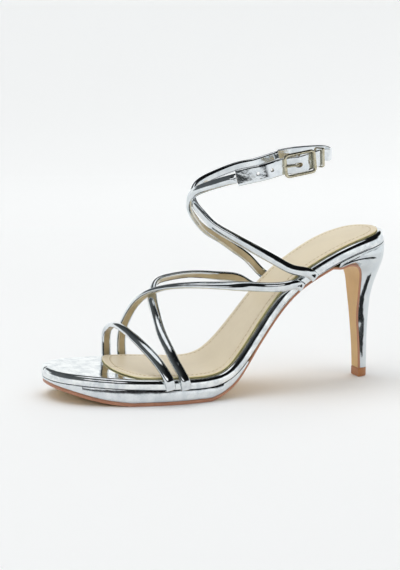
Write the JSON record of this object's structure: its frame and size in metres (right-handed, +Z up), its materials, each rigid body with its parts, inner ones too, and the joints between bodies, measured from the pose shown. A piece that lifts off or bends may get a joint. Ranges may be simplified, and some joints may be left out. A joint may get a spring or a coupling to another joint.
{
  "type": "womens strappy high heel platform sandal",
  "caption": "Strappy high-heeled sandal in mirror silver with a thin platform, slim heel, crossed straps and a buckled ankle strap. A left shoe, standing on its sole.",
  "frame": {"origin": "middle of the floor area that the shoe takes up, on the floor", "axes": "+X from toe to heel, -Y towards the outer side with the buckle, +Z up"},
  "size_m": [0.226, 0.0864, 0.1527],
  "materials": {
    "mirror_foil": "mirror silver foil laminated on leather, board and heel, slightly wavy",
    "sock_leather": "smooth matt beige sock with a stitched edge",
    "sole_leather": "smooth tan sole with a copper brown edge",
    "tip_rubber": "smooth brown heel tip",
    "buckle_metal": "polished pale metal"
  },
  "bodies": {
    "root": {"outsole": "sole_leather", "platform": "mirror_foil", "footbed_board": "mirror_foil", "insole": "sock_leather", "heel": "mirror_foil", "heel_tip": "tip_rubber", "toe_strap": "mirror_foil", "instep_straps": "mirror_foil", "ankle_straps": "mirror_foil", "ankle_band": "mirror_foil", "billet": "mirror_foil", "buckle_frame": "buckle_metal", "buckle_prong": "buckle_metal", "keeper_loop": "buckle_metal"}
  },
  "joints": []
}
